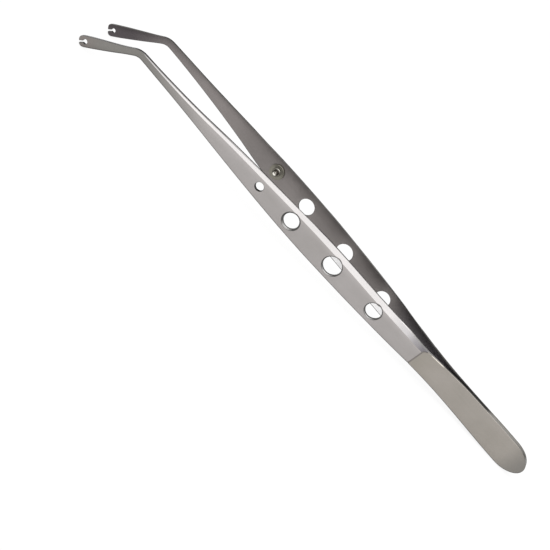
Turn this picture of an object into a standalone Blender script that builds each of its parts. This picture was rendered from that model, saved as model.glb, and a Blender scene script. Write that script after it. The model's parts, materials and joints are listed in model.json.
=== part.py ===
"""Aquascaping tweezers.

Two spring-steel strips lie face to face at the heel, where two spot welds join
them. From there they bow apart, narrow to a neck, turn down in the plane of
their broad faces and end in a keyhole. The rear strip carries a riveted guide
pin that points at a small hole in the front strip.

Each strip bends on the tip side of the welds. The bend stands as a hinge, so a
strip is drawn as a heel and a blade with a narrow slit between them.

Axes: +X runs from the tips to the heel, Y is the closing direction with the
front arm on -Y, +Z is up. The tweezers rest on their lower edges, tips down.
Places along a strip are distances from the heel's end, measured along the strip.
"""
import math

import bmesh
import bpy
from mathutils import Matrix, Vector

MM = 0.001

# ------------------------------------------------------------ strip dimensions
STRIP_T = 1.0 * MM              # thickness of the sheet
CLEAR = 0.3 * MM                # gap between pieces that touch on the real thing

HEEL_ROUND = 7.5 * MM           # length of the half-elliptical end
HINGE_AT = 34.0 * MM            # middle of the bending zone
BEND_AT = 163.1 * MM            # where the in-plane bend starts
BEND_R = 5.0 * MM
BEND_ANGLE = math.radians(38.3)
BEND_END = BEND_AT + BEND_R * BEND_ANGLE
KEYHOLE_AT = BEND_END + 16.0 * MM
LENGTH = KEYHOLE_AT + 2.1 * MM
TIP_CORNER = 1.3 * MM           # length of the rounded tip corners
TIP_CORNER_DEPTH = 0.85 * TIP_CORNER

# Width of the strip. Columns: distance along the strip, width, in mm.
WIDTH = (
    (7.5, 9.3), (12, 9.35), (20, 9.05), (30, 8.6), (40, 7.85), (46, 7.5),
    (55, 7.85), (65, 8.3), (80, 9.0), (90, 9.15), (100, 8.8), (110, 8.05),
    (120, 6.98), (130, 5.65), (140, 4.25), (150, 3.18), (160, 2.47),
    (163.5, 2.27), (167, 2.2), (175, 3.0), (182.5, 3.6), (184.5, 3.6),
)

# Inner face to the middle plane. Columns: distance along the strip, half gap, in mm.
HALF_GAP = (
    (0, 0.15), (24, 0.15), (30, 0.27), (35, 0.62), (40, 1.25), (45, 2.0),
    (50, 2.7), (55, 3.28), (60, 3.78), (70, 4.5), (80, 5.0), (90, 5.55),
    (100, 6.1), (110, 6.56), (120, 6.98), (130, 7.42), (140, 7.85),
    (150, 8.15), (160, 8.38), (166, 8.4), (175, 8.2), (185, 8.0),
)
SEAM = HALF_GAP[0][1] * MM      # half gap at the heel

# Bevel on the upper outer edge. Columns: distance along the strip, and the
# bevel's width across the face or its depth into the thickness, in mm.
BEVEL_WIDTH = (
    (34, 0.12), (47, 0.12), (51, 1.3), (60, 1.4), (110, 1.4), (120, 1.25),
    (130, 1.0), (140, 0.8), (150, 0.62), (160, 0.38), (164, 0.12), (185, 0.12),
)
BEVEL_DEPTH = (
    (34, 0.10), (47, 0.10), (51, 0.35), (60, 0.42), (100, 0.40), (130, 0.24),
    (150, 0.16), (160, 0.12), (164, 0.1), (185, 0.1),
)

# Spacing of the strip's cross-sections.
HEEL_STEPS = 10                 # around the heel's round end
HEEL_LEAD = 0.35                # first heel section, in steps from the very end
BODY_STEP = 2.6 * MM
BEND_STEPS = 8
TIP_STEP = 2.2 * MM             # between the bend and the rounded tip
CORNER_STEPS = 6
BEVEL_SECTIONS = (46.7 * MM, 48.2 * MM, 51.0 * MM)   # where the bevel widens

# ------------------------------------------------------------- hole dimensions
# Grip holes. Columns: distance along the strip, bore diameter, outer chamfer, in mm.
GRIP_HOLES = ((65.3, 5.1, 0.3), (83.1, 5.75, 0.25), (100.7, 5.1, 0.42))
CHAMFER_OVERRUN = 0.8 * MM      # how far a chamfer's cone runs past the sheet

GUIDE_HOLE_D = 2.75 * MM
KEYHOLE_D = 1.35 * MM
SLIT_W = 0.5 * MM
SLIT_LENGTH = 4.0 * MM
SLIT_CUT_H = 4.5 * MM
SLIT_SLANT = math.radians(6.5)  # the slit opens a little low of the strip's line

# Ends of the straight cutters, from the inner face; plus is outwards.
THROUGH_OUTER = 2.5 * MM
THROUGH_INNER = -1.5 * MM
POCKET_INNER = -1.0 * MM

# ------------------------------------------------------ pin and weld dimensions
PIN_AT = 114.1 * MM
PIN_D = 1.75 * MM
PIN_REACH = 2.3 * MM            # inner face to the pin's domed end
DOME_STEPS = 6
COLLAR_D = 4.9 * MM
COLLAR_H = 0.65 * MM
COLLAR_CHAMFER = 0.25 * MM
RIVET_D = 3.2 * MM
RIVET_H = 0.45 * MM

WELDS_AT = (9.0 * MM, 17.5 * MM)
WELD_D = 3.6 * MM
WELD_T = 0.5 * MM
WELD_CHAMFER = 0.12 * MM

# -------------------------------------------------------------------- finishes
STEEL = dict(colour=(0.62, 0.61, 0.59, 1.0), roughness=0.32)
SATIN = dict(colour=(0.55, 0.54, 0.51, 1.0), roughness=0.42)
BRIGHT = dict(colour=(0.74, 0.73, 0.70, 1.0), roughness=0.2)
BURNT = dict(colour=(0.36, 0.34, 0.33, 1.0), roughness=0.55)
SHARP_ANGLE = math.radians(28)  # strip edges steeper than this stay sharp


# ----------------------------------------------------------- shape of the strip
def smooth(table, dist):
    """Cubic Hermite curve through a table of stations in mm; metres in and out."""
    dist = dist / MM
    if dist <= table[0][0]:
        return table[0][1] * MM
    if dist >= table[-1][0]:
        return table[-1][1] * MM

    def slope(i):
        """Harmonic mean of the slopes on both sides, flat at ends and turning points."""
        if i == 0 or i == len(table) - 1:
            return 0.0
        (x0, y0), (x1, y1), (x2, y2) = table[i - 1:i + 2]
        left = (y1 - y0) / (x1 - x0)
        right = (y2 - y1) / (x2 - x1)
        return 0.0 if left * right <= 0 else 2 * left * right / (left + right)

    i = max(k for k in range(len(table) - 1) if table[k][0] <= dist)
    (x0, y0), (x1, y1) = table[i:i + 2]
    span = x1 - x0
    part = (dist - x0) / span
    value = ((2 * part ** 3 - 3 * part ** 2 + 1) * y0
             + (part ** 3 - 2 * part ** 2 + part) * span * slope(i)
             + (-2 * part ** 3 + 3 * part ** 2) * y1
             + (part ** 3 - part ** 2) * span * slope(i + 1))
    return value * MM


def spine(dist):
    """Middle of the strip: x, z and how far it has turned down."""
    if dist <= BEND_AT:
        return -dist, 0.0, 0.0
    turn = min((dist - BEND_AT) / BEND_R, BEND_ANGLE)
    x = BEND_AT + BEND_R * math.sin(turn)
    z = -BEND_R * (1 - math.cos(turn))
    rest = dist - BEND_AT - BEND_R * turn
    return -(x + rest * math.cos(turn)), z - rest * math.sin(turn), turn


def half_width(dist):
    half = smooth(WIDTH, dist) / 2
    if dist < HEEL_ROUND:
        half *= math.sqrt(max(1 - ((HEEL_ROUND - dist) / HEEL_ROUND) ** 2, 0.0))
    land = LENGTH - dist
    if land < TIP_CORNER:
        arc = math.sqrt(max(1 - ((TIP_CORNER - land) / TIP_CORNER) ** 2, 0.0))
        half -= TIP_CORNER_DEPTH * (1 - arc)
    return half


def section(dist, side):
    """Five corners of the strip's cross-section, in the frame's axes."""
    x, z, turn = spine(dist)
    half = half_width(dist)
    inner = smooth(HALF_GAP, dist)
    outer = inner + STRIP_T
    bevel_width = min(smooth(BEVEL_WIDTH, dist), half * 0.8)
    bevel_depth = smooth(BEVEL_DEPTH, dist)
    corners = (
        (-half, outer),
        (half - bevel_width, outer),
        (half, outer - bevel_depth),
        (half, inner),
        (-half, inner),
    )
    return [Vector((x - across * math.sin(turn), side * off, z + across * math.cos(turn)))
            for across, off in corners]


def spaced(first, limit, step):
    """Places from first up to, but not including, limit."""
    places = []
    while first < limit:
        places.append(first)
        first += step
    return places


def stations(start, stop):
    """Section places between two distances: close where the outline turns."""
    quarter = math.pi / 2
    marks = [HEEL_ROUND * (1 - math.cos(quarter * (k + HEEL_LEAD) / (HEEL_STEPS + HEEL_LEAD)))
             for k in range(HEEL_STEPS + 1)]
    marks += spaced(HEEL_ROUND + 2.0 * MM, BEND_AT - 1 * MM, BODY_STEP)
    marks += [BEND_AT + BEND_R * BEND_ANGLE * k / BEND_STEPS for k in range(BEND_STEPS + 1)]
    marks += spaced(BEND_END + TIP_STEP, LENGTH - 1.6 * MM, TIP_STEP)
    marks += [LENGTH - TIP_CORNER * (1 - math.sin(quarter * k / CORNER_STEPS))
              for k in range(CORNER_STEPS + 1)]
    marks += BEVEL_SECTIONS

    # At the heel's end the first section has a small width, not a point.
    kept = [start] if start > 0 else [marks[0]]
    for mark in sorted(marks):
        inside = start + 0.5 * MM < mark < stop - 0.1 * MM
        if inside and mark - kept[-1] > 0.06 * MM:
            kept.append(mark)
    return kept + [stop]


def placement(dist, side, across=0.0, lift=0.0):
    """Matrix of a spot on the strip's inner face, raised outwards by lift.

    Z points outwards, X runs along the strip.
    """
    x, z, turn = spine(dist)
    spot = Vector((x - across * math.sin(turn),
                   side * (smooth(HALF_GAP, dist) + lift),
                   z + across * math.cos(turn)))
    reach = 0.5 * MM
    rise = smooth(HALF_GAP, dist + reach) - smooth(HALF_GAP, dist - reach)
    tilt = math.atan2(rise, 2 * reach)
    along = Vector((-math.cos(turn) * math.cos(tilt),
                    side * math.sin(tilt),
                    -math.sin(turn) * math.cos(tilt)))
    width = Vector((-math.sin(turn), 0, math.cos(turn)))
    out = along.cross(width)
    if out.y * side < 0:
        along = -along
        out = -out
    return Matrix.Translation(spot) @ Matrix((along, width, out)).transposed().to_4x4()


# --------------------------------------------------------------------- helpers
def add_material(ob, colour, roughness):
    mat = bpy.data.materials.new(ob.name + "_steel")
    mat.use_nodes = True
    shader = mat.node_tree.nodes["Principled BSDF"]
    shader.inputs["Base Color"].default_value = colour
    shader.inputs["Roughness"].default_value = roughness
    shader.inputs["Metallic"].default_value = 1.0
    mat.diffuse_color = colour
    ob.data.materials.append(mat)


def add_object(name, mesh, collection, parent=None):
    """New object; an empty when mesh is None."""
    ob = bpy.data.objects.new(name, mesh)
    collection.objects.link(ob)
    ob.parent = parent
    return ob


def mesh_from(bm, name):
    mesh = bpy.data.meshes.new(name)
    bm.to_mesh(mesh)
    bm.free()
    return mesh


def turned(name, profile, segments, collection, parent, matrix):
    """Solid of revolution about its own Z. The profile is (radius, z) points."""
    mesh = bpy.data.meshes.new(name)
    edges = [(k, k + 1) for k in range(len(profile) - 1)]
    mesh.from_pydata([(radius, 0, z) for radius, z in profile], edges, [])
    ob = add_object(name, mesh, collection, parent)
    ob.matrix_local = matrix
    screw = ob.modifiers.new("turn", "SCREW")
    screw.axis = "Z"
    screw.angle = 2 * math.pi
    screw.steps = screw.render_steps = segments
    screw.screw_offset = 0.0
    screw.use_merge_vertices = True
    screw.merge_threshold = 1e-6
    screw.use_smooth_shade = True
    return ob


def cylinder(radius, outer=THROUGH_OUTER, inner=THROUGH_INNER):
    """Profile of a straight cutter."""
    return (0, outer), (radius, outer), (radius, inner), (0, inner)


def cut(target, tool):
    tool.hide_render = True
    tool.display_type = "WIRE"
    boolean = target.modifiers.new("cut_" + tool.name, "BOOLEAN")
    boolean.operation = "DIFFERENCE"
    boolean.solver = "EXACT"
    boolean.object = tool


def cut_round(target, name, profile, segments, dist, side):
    """Cut a turned shape square to the strip's face."""
    cut(target, turned(name, profile, segments, tools, frame, placement(dist, side)))


# ------------------------------------------------------------- frame and hinges
def pitched(point, angle):
    """x and z of a point turned about +Y."""
    return (point.x * math.cos(angle) + point.z * math.sin(angle),
            point.z * math.cos(angle) - point.x * math.sin(angle))


def build_frame():
    """Empty that pitches the strips until heel and tips share the floor."""
    corners = [point for dist in stations(0.0, LENGTH) for point in section(dist, 1)]
    heel = [point for point in corners if point.x > -HINGE_AT]
    tip = [point for point in corners if point.x < -BEND_AT]
    pitch = 0.0
    for _ in range(6):
        heel_x, heel_z = min((pitched(p, pitch) for p in heel), key=lambda spot: spot[1])
        tip_x, tip_z = min((pitched(p, pitch) for p in tip), key=lambda spot: spot[1])
        pitch += math.atan2(heel_z - tip_z, heel_x - tip_x)
    rested_x, rested_z = zip(*(pitched(point, pitch) for point in corners))

    empty = add_object("tweezers_frame", None, parts)
    empty.location = (-(min(rested_x) + max(rested_x)) / 2, 0.0, -min(rested_z))
    empty.rotation_euler = (0.0, pitch, 0.0)
    return empty


def build_hinge(label, side):
    """Empty in the middle of the sheet where the blade bends."""
    empty = add_object(label + "_arm_hinge", None, parts, frame)
    middle = smooth(HALF_GAP, HINGE_AT) + STRIP_T / 2
    empty.location = (-HINGE_AT, side * middle, 0.0)
    return empty


# ---------------------------------------------------------------------- strips
def strip(name, start, stop, side, parent, origin, finish):
    """Loft of the strip from start to stop, with its origin at a point of the frame."""
    bm = bmesh.new()
    rings = [[bm.verts.new(point - origin) for point in section(dist, side)]
             for dist in stations(start, stop)]
    for ring, following in zip(rings, rings[1:]):
        for k in range(5):
            after = (k + 1) % 5
            bm.faces.new((ring[k], ring[after], following[after], following[k]))
    bm.faces.new(rings[0])
    bm.faces.new(rings[-1])
    bmesh.ops.triangulate(bm, faces=[face for face in bm.faces if len(face.verts) == 4])
    bmesh.ops.recalc_face_normals(bm, faces=bm.faces)
    mesh = mesh_from(bm, name)
    mesh.shade_smooth()
    mesh.set_sharp_from_angle(angle=SHARP_ANGLE)
    ob = add_object(name, mesh, parts, parent)
    add_material(ob, **finish)
    return ob


def cut_weld_pockets(heel, label, side):
    """Round recesses in the inner face, clear of the spot welds."""
    profile = cylinder(WELD_D / 2 + CLEAR, WELD_T / 2 - SEAM + CLEAR, POCKET_INNER)
    for k, dist in enumerate(WELDS_AT, start=1):
        cut_round(heel, f"{label}_weld_pocket_{k}", profile, 40, dist, side)


def cut_grip_holes(blade, label, side):
    """Holes chamfered on both faces, half as deep on the inner one."""
    over = CHAMFER_OVERRUN
    for k, (dist, bore, chamfer) in enumerate(GRIP_HOLES, start=1):
        radius = bore / 2 * MM
        outer = chamfer * MM
        inner = outer * 0.5
        profile = (
            (0, STRIP_T + over),
            (radius + outer + over, STRIP_T + over),
            (radius, STRIP_T - outer),
            (radius, inner),
            (radius + inner + over, -over),
            (0, -over),
        )
        cut_round(blade, f"{label}_grip_hole_{k}", profile, 56, dist * MM, side)


def cut_slit(blade, label, side):
    """Slit from the keyhole out through the tip."""
    bm = bmesh.new()
    bmesh.ops.create_cube(bm, size=1.0)
    bmesh.ops.scale(bm, vec=(SLIT_LENGTH, SLIT_W, SLIT_CUT_H), verts=bm.verts)
    name = label + "_slit"
    tool = add_object(name, mesh_from(bm, name), tools, frame)
    run = SLIT_LENGTH / 2
    middle = placement(KEYHOLE_AT + run, side,
                       across=-run * math.tan(SLIT_SLANT), lift=STRIP_T / 2)
    tool.matrix_local = middle @ Matrix.Rotation(-side * SLIT_SLANT, 4, "Z")
    cut(blade, tool)


def build_arm(label, side, hinge, pin_hole_radius):
    heel = strip(label + "_arm_heel", 0.0, HINGE_AT - CLEAR / 2, side,
                 parent=frame, origin=Vector((0, 0, 0)), finish=SATIN)
    blade = strip(label + "_arm_blade", HINGE_AT + CLEAR / 2, LENGTH, side,
                  parent=hinge, origin=hinge.location, finish=STEEL)
    cut_weld_pockets(heel, label, side)
    cut_grip_holes(blade, label, side)
    cut_round(blade, label + "_pin_hole", cylinder(pin_hole_radius), 40, PIN_AT, side)
    cut_round(blade, label + "_keyhole", cylinder(KEYHOLE_D / 2), 36, KEYHOLE_AT, side)
    cut_slit(blade, label, side)


# ------------------------------------------------------------------- guide pin
def build_guide_pin(hinge):
    """Domed pin with a collar inside the rear strip and a rivet head outside it."""
    shank = PIN_D / 2
    collar = COLLAR_D / 2
    rivet = RIVET_D / 2
    collar_base = CLEAR             # stands clear of the inner face
    collar_top = collar_base + COLLAR_H
    head = -STRIP_T - CLEAR         # stands clear of the outer face
    profile = []
    for k in range(DOME_STEPS + 1):
        angle = math.pi / 2 * k / DOME_STEPS
        profile.append((shank * math.sin(angle), PIN_REACH - shank * (1 - math.cos(angle))))
    profile += [
        (shank, collar_top),
        (collar - COLLAR_CHAMFER, collar_top),
        (collar, collar_top - COLLAR_CHAMFER),
        (collar, collar_base),
        (shank, collar_base),
        (shank, head),
        (rivet, head),
        (rivet * 0.86, head - RIVET_H * 0.65),
        (rivet * 0.45, head - RIVET_H),
        (0.0, head - RIVET_H),
    ]
    inwards = Matrix.Rotation(math.pi, 4, "X")      # points the pin at the front arm
    matrix = Matrix.Translation(-hinge.location) @ placement(PIN_AT, 1) @ inwards
    pin = turned("guide_pin", profile, 40, parts, hinge, matrix)
    add_material(pin, **BRIGHT)


# ------------------------------------------------------------------ spot welds
def build_spot_weld(number, dist):
    """Chamfered disc between the two heels."""
    radius = WELD_D / 2
    half = WELD_T / 2
    profile = (
        (0, half),
        (radius - WELD_CHAMFER, half),
        (radius, half - WELD_CHAMFER),
        (radius, WELD_CHAMFER - half),
        (radius - WELD_CHAMFER, -half),
        (0, -half),
    )
    matrix = Matrix.Translation((-dist, 0, 0)) @ Matrix.Rotation(math.pi / 2, 4, "X")
    weld = turned(f"spot_weld_{number}", profile, 36, parts, frame, matrix)
    add_material(weld, **BURNT)


# ----------------------------------------------------------------------- build
for old in list(bpy.data.objects):
    bpy.data.objects.remove(old, do_unlink=True)

parts = bpy.data.collections.new("aquascaping_tweezers")
tools = bpy.data.collections.new("cutters")
bpy.context.scene.collection.children.link(parts)
bpy.context.scene.collection.children.link(tools)

frame = build_frame()
front_hinge = build_hinge("front", -1)
rear_hinge = build_hinge("rear", 1)
build_arm("front", -1, front_hinge, pin_hole_radius=GUIDE_HOLE_D / 2)
build_arm("rear", 1, rear_hinge, pin_hole_radius=PIN_D / 2 + CLEAR)
build_guide_pin(rear_hinge)
for number, dist in enumerate(WELDS_AT, start=1):
    build_spot_weld(number, dist)

bpy.context.view_layer.update()
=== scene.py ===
"""Aquascaping tweezers: two sprung steel strips welded at the heel, and a turned guide pin.

Own axes, in millimetres: the heel's end is at x = 0 and the tips point to -X. The front strip lies at -Y
and the rear one at +Y of the middle plane, and +Z runs up across the strips. to_frame() gives these axes
their resting pitch and turns them to metres.

Each strip is drawn as a flat plate (along it from the heel, across it from its middle line), with rounded
or chamfered rims on every outline, and then laid on the bowed and turned-down surface.
"""
import json
import math

import bpy
import numpy as np
from mathutils import Matrix, Vector
from mathutils.geometry import delaunay_2d_cdt


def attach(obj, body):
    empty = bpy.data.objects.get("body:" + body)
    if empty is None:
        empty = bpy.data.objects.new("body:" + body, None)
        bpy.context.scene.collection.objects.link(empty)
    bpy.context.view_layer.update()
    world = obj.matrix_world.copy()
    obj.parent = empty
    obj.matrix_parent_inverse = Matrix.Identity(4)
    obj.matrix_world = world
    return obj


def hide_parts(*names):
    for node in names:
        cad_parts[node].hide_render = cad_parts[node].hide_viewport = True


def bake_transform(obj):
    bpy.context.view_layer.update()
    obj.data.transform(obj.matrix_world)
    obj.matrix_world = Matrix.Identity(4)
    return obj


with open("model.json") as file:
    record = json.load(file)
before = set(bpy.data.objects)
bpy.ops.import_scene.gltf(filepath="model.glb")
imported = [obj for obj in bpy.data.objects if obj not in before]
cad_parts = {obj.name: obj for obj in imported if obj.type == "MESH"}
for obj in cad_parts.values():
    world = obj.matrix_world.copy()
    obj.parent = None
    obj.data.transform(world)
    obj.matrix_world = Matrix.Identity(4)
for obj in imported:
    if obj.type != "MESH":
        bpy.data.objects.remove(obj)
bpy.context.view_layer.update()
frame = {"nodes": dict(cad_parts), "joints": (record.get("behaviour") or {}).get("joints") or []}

MM = 0.001
FRONT, REAR = -1, 1               # sides of the middle plane, as signs of y

# ------------------------------------------------------------- strip dimensions
THICK = 1.0
HEEL_ROUND = 7.5                  # length of the rounded heel end
STEP_AT = 46.7                    # where the grinding starts
HINGE_AT = 34.0
BEND_AT = 163.1
BEND_R = 5.0
BEND_ANGLE = math.radians(38.3)
BEND_TO_KEYHOLE = 16.0
TIP_LAND = 2.1                    # from the keyhole's centre to the tip
KEYHOLE_AT = BEND_AT + BEND_R * BEND_ANGLE + BEND_TO_KEYHOLE
LENGTH = KEYHOLE_AT + TIP_LAND
SLIT = 0.25                       # half width of the slit at the keyhole's centre
SLANT = math.tan(math.radians(6.5))   # each slit wall's slope, closing towards the tip
PIN_AT = 114.1
PIN_OFF = 0.25                    # the pin stands a little nearer the tips than its hole
PIN_SEAT = PIN_AT + PIN_OFF
PIN_R = 0.875
GUIDE_HOLE_D = 2.75
WELDS_AT = (9.0, 17.5)
# place, front bore, rear bore, chamfer width, chamfer height
GRIP_HOLES = ((65.3, 5.1, 4.95, 0.28, 0.24), (83.1, 5.9, 5.5, 0.30, 0.26), (100.7, 4.95, 5.15, 0.48, 0.40))

# The strips differ a little, as they are finished by hand.
KEYHOLE_R = {FRONT: 0.74, REAR: 0.675}
FLARE = {FRONT: -0.12, REAR: 0.16}                  # added width of the tip
TIP_SQUARENESS = {FRONT: 2.9, REAR: 3.6}            # exponent of the tip's superellipse
BEND_OFF = {FRONT: 0.0, REAR: 0.15}
KEY_OFF = {FRONT: (0.18, -0.02), REAR: (0.36, -0.18)}   # on the keyhole's place and on the land

# Tables of (place along, value)
WIDTH = ((7.5, 9.3), (12, 9.35), (20, 9.05), (30, 8.6), (40, 7.85), (46, 7.5),
         (55, 7.85), (65, 8.3), (80, 9.0), (90, 9.15), (100, 8.8), (110, 8.05),
         (120, 6.98), (130, 5.65), (140, 4.25), (150, 3.18), (160, 2.47),
         (163.5, 2.27), (167, 2.2), (175, 3.0), (182.5, 3.6), (184.5, 3.6))
# front strip: rise of the upper edge
CREST = ((0, 0.0), (47, 0.0), (53, 0.32), (60, 0.50), (70, 0.38), (84, 0.42), (94, 0.24),
         (103, -0.02), (112, 0.0), (120, 0.11), (130, 0.18), (136, 0.08), (142, -0.02),
         (152, -0.04), (160, -0.02), (166, 0.0), (185, 0.0))
# rear strip: how much higher it stands
RISE = ((0, 0.0), (50, 0.0), (62, 0.22), (150, 0.22), (160, 0.20), (171, 0.02), (185, 0.0))
# inner face from the middle plane
HALF_GAP = ((0, 0.15), (24, 0.15), (30, 0.27), (35, 0.62), (40, 1.25), (45, 2.0),
            (50, 2.7), (55, 3.28), (60, 3.78), (70, 4.5), (80, 5.0), (90, 5.55),
            (100, 6.1), (110, 6.56), (120, 6.98), (130, 7.42), (140, 7.85),
            (150, 8.15), (160, 8.38), (166, 8.4), (175, 8.2), (185, 8.0))
# bevel along the upper edge: width and depth
BEVEL_FROM, BEVEL_TO = 44.6, 164.2
BEVEL_W = ((46, 1.5), (49, 1.62), (52, 1.52), (60, 1.42), (110, 1.4), (120, 1.24), (130, 1.04),
           (140, 0.96), (150, 0.76), (156, 0.58), (160, 0.42), (164.5, 0.3))
BEVEL_H = ((BEVEL_FROM, 0.0), (46.5, 0.02), (48.5, 0.05), (51, 0.16), (53.5, 0.33), (60, 0.40),
           (100, 0.38), (120, 0.24), (130, 0.16), (150, 0.12), (160, 0.09), (164.3, 0.0))
# rounding of the upper and the lower edges
RIM_UP = ((0, 0.30), (38, 0.28), (48, 0.10), (112, 0.10), (124, 0.22), (156, 0.22), (164, 0.14),
          (185, 0.16))
RIM_LOW = ((0, 0.32), (44, 0.32), (50, 0.30), (150, 0.26), (164, 0.18), (185, 0.16))
# arch across the outer face
CROWN = ((0, 0.0), (24, 0.0), (60, 0.06), (150, 0.05), (170, 0.03), (185, 0.02))


class Track:
    """A smooth function through a table: Hermite pieces, sampled densely and lightly blurred."""
    START, END, PITCH = -12.0, 200.0, 0.2

    def __init__(self, table, blur):
        xs, ys = np.array(table, float).T
        spans = np.diff(xs)
        rises = np.diff(ys) / spans
        slopes = np.zeros(len(xs))
        for i in range(1, len(xs) - 1):
            if rises[i - 1] * rises[i] > 0:
                slopes[i] = 2 * rises[i - 1] * rises[i] / (rises[i - 1] + rises[i])
        x = np.clip(np.arange(self.START, self.END, self.PITCH), xs[0], xs[-1])
        i = np.clip(np.searchsorted(xs, x, side="right") - 1, 0, len(xs) - 2)
        part = (x - xs[i]) / spans[i]
        y = ((2 * part ** 3 - 3 * part ** 2 + 1) * ys[i]
             + (part ** 3 - 2 * part ** 2 + part) * spans[i] * slopes[i]
             + (-2 * part ** 3 + 3 * part ** 2) * ys[i + 1]
             + (part ** 3 - part ** 2) * spans[i] * slopes[i + 1])
        reach = int(4 * blur / self.PITCH)
        kernel = np.exp(-0.5 * (np.arange(-reach, reach + 1) * self.PITCH / blur) ** 2)
        kernel /= kernel.sum()
        self.samples = np.convolve(np.pad(y, len(kernel) // 2, mode="edge"), kernel, mode="valid")

    def __call__(self, x):
        """Catmull-Rom through the dense samples."""
        place = (np.asarray(x, float) - self.START) / self.PITCH
        place = np.clip(place, 1, len(self.samples) - 3)
        i = np.floor(place).astype(int)
        part = place - i
        before, here, after, beyond = (self.samples[i + k] for k in (-1, 0, 1, 2))
        return 0.5 * (2 * here + (after - before) * part
                      + (2 * before - 5 * here + 4 * after - beyond) * part ** 2
                      + (3 * here - before - 3 * after + beyond) * part ** 3)


full_width = Track(WIDTH, blur=1.5)
half_gap = Track(HALF_GAP, blur=1.5)
bevel_width = Track(BEVEL_W, blur=0.8)
bevel_depth = Track(BEVEL_H, blur=0.35)
rim_upper = Track(RIM_UP, blur=2.0)
rim_lower = Track(RIM_LOW, blur=2.0)
crown = Track(CROWN, blur=3.0)
crest = Track(CREST, blur=2.0)
rise = Track(RISE, blur=2.0)
STEP_HALF = float(full_width(STEP_AT)) / 2


def ramp(x, start, end):
    """Smooth step from 0 at start to 1 at end."""
    part = np.clip((np.asarray(x, float) - start) / (end - start), 0, 1)
    return part * part * (3 - 2 * part)


def march(start, stop, pace):
    """Stations from start up to stop."""
    while start < stop:
        yield start
        start += pace


def step_place(across):
    """The line where the grinding starts, swept back at its upper end."""
    over = np.clip((across - (STEP_HALF - 1.6)) / 1.6, 0, 1.2)
    return STEP_AT - 0.12 - 2.0 * over ** 2.2


def inner_height(along, across):
    """Height of the inner face over the middle plane. The strips lie tight together at the heel."""
    return half_gap(along) - 0.13 * (1 - ramp(along, 24.0, 33.0))


def edge_break(chamfer):
    """Width of the small break on a chamfer's own edges."""
    return min(0.05, chamfer * 0.4)


def unit(rows):
    return rows / np.linalg.norm(rows, axis=1)[:, None]


# ------------------------------------------------- from own axes to the frame
# The resting pitch is taken from the flex joint's axis, the place from its position.
joint = next(j for j in frame["joints"] if j["name"] == "rear_arm_flex")
flex_axis = Vector(joint["axis"]).normalized()
hinge = Vector(joint["pos_m"])
pitch_turn = Matrix.Rotation(math.atan2(flex_axis.x, flex_axis.z), 3, "Y")
PITCH_TURN = np.array(pitch_turn)
ORIGIN = np.array(Vector((hinge.x, 0.0, hinge.z)) - pitch_turn @ Vector((-HINGE_AT * MM, 0, 0)))


def to_frame(points):
    return np.asarray(points, float) * MM @ PITCH_TURN.T + ORIGIN


def turn_to_frame(directions):
    return np.asarray(directions, float) @ PITCH_TURN.T


def placing(axes, origin):
    """Matrix in the frame from three axes and an origin in own axes."""
    matrix = Matrix.Identity(4)
    for column, vector in enumerate((*map(turn_to_frame, axes), to_frame(origin))):
        for row in range(3):
            matrix[row][column] = vector[row]
    return matrix


# ------------------------------------------------------------------- outlines
def round_corner(before, corner, after, radius, count):
    """Points of the arc that rounds a corner between two neighbours."""
    before, corner, after = map(np.array, (before, corner, after))
    back = (before - corner) / np.linalg.norm(before - corner)
    ahead = (after - corner) / np.linalg.norm(after - corner)
    half = math.acos(np.clip(back @ ahead, -1, 1)) / 2
    cut = radius / math.tan(half)
    middle = (back + ahead) / np.linalg.norm(back + ahead)
    centre = corner + middle * radius / math.sin(half)
    start, end = corner + back * cut - centre, corner + ahead * cut - centre
    total = math.acos(np.clip((start @ end) / (radius * radius), -1, 1))
    sign = 1 if start[0] * end[1] - start[1] * end[0] > 0 else -1
    arc = []
    for k in range(count + 1):
        angle = sign * total * k / count
        cos, sin = math.cos(angle), math.sin(angle)
        arc.append(tuple(centre + np.array([start[0] * cos - start[1] * sin,
                                            start[0] * sin + start[1] * cos])))
    return arc


def ring(place, radius, count):
    angle = np.arange(count) * 2 * math.pi / count
    return np.stack([place + radius * np.cos(angle), radius * np.sin(angle)], 1)


def edge_stations(keyhole_at):
    """Places along the strip where its edge has points, denser at heel, step and tip."""
    count = 26
    stations = [HEEL_ROUND * (1 - math.cos(math.pi / 2 * k / count)) for k in range(1, count + 1)]
    stations += march(HEEL_ROUND + 0.7, BEND_AT - 0.9, 0.8)
    stations = [place for place in stations if abs(place - STEP_AT) > 0.95]
    stations += [STEP_AT + off for off in (-0.85, -0.6, -0.35, -0.1, 0.15, 0.4, 0.65, 0.9)]
    stations += march(BEND_AT - 0.6, keyhole_at - 0.25, 0.45)
    return sorted(stations)


def outward(loop):
    """Unit normal that leaves the material, for each point of a closed loop."""
    tangent = unit(unit(loop - np.roll(loop, 1, 0)) + unit(np.roll(loop, -1, 0) - loop))
    return np.stack([-tangent[:, 1], tangent[:, 0]], 1)


def inside(points, loop):
    x, y = points[:, 0][:, None], points[:, 1][:, None]
    x1, y1 = loop[:, 0][None], loop[:, 1][None]
    x2, y2 = np.roll(loop[:, 0], -1)[None], np.roll(loop[:, 1], -1)[None]
    crossed = ((y1 > y) != (y2 > y)) & (x < (x2 - x1) * (y - y1) / (y2 - y1 + 1e-30) + x1)
    return crossed.sum(1) % 2 == 1


def in_material(points, rims):
    """Inside the first rim's inset loop and outside all the others'."""
    keep = inside(points, rims[0].inset)
    for rim in rims[1:]:
        keep &= ~inside(points, rim.inset)
    return keep


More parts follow.
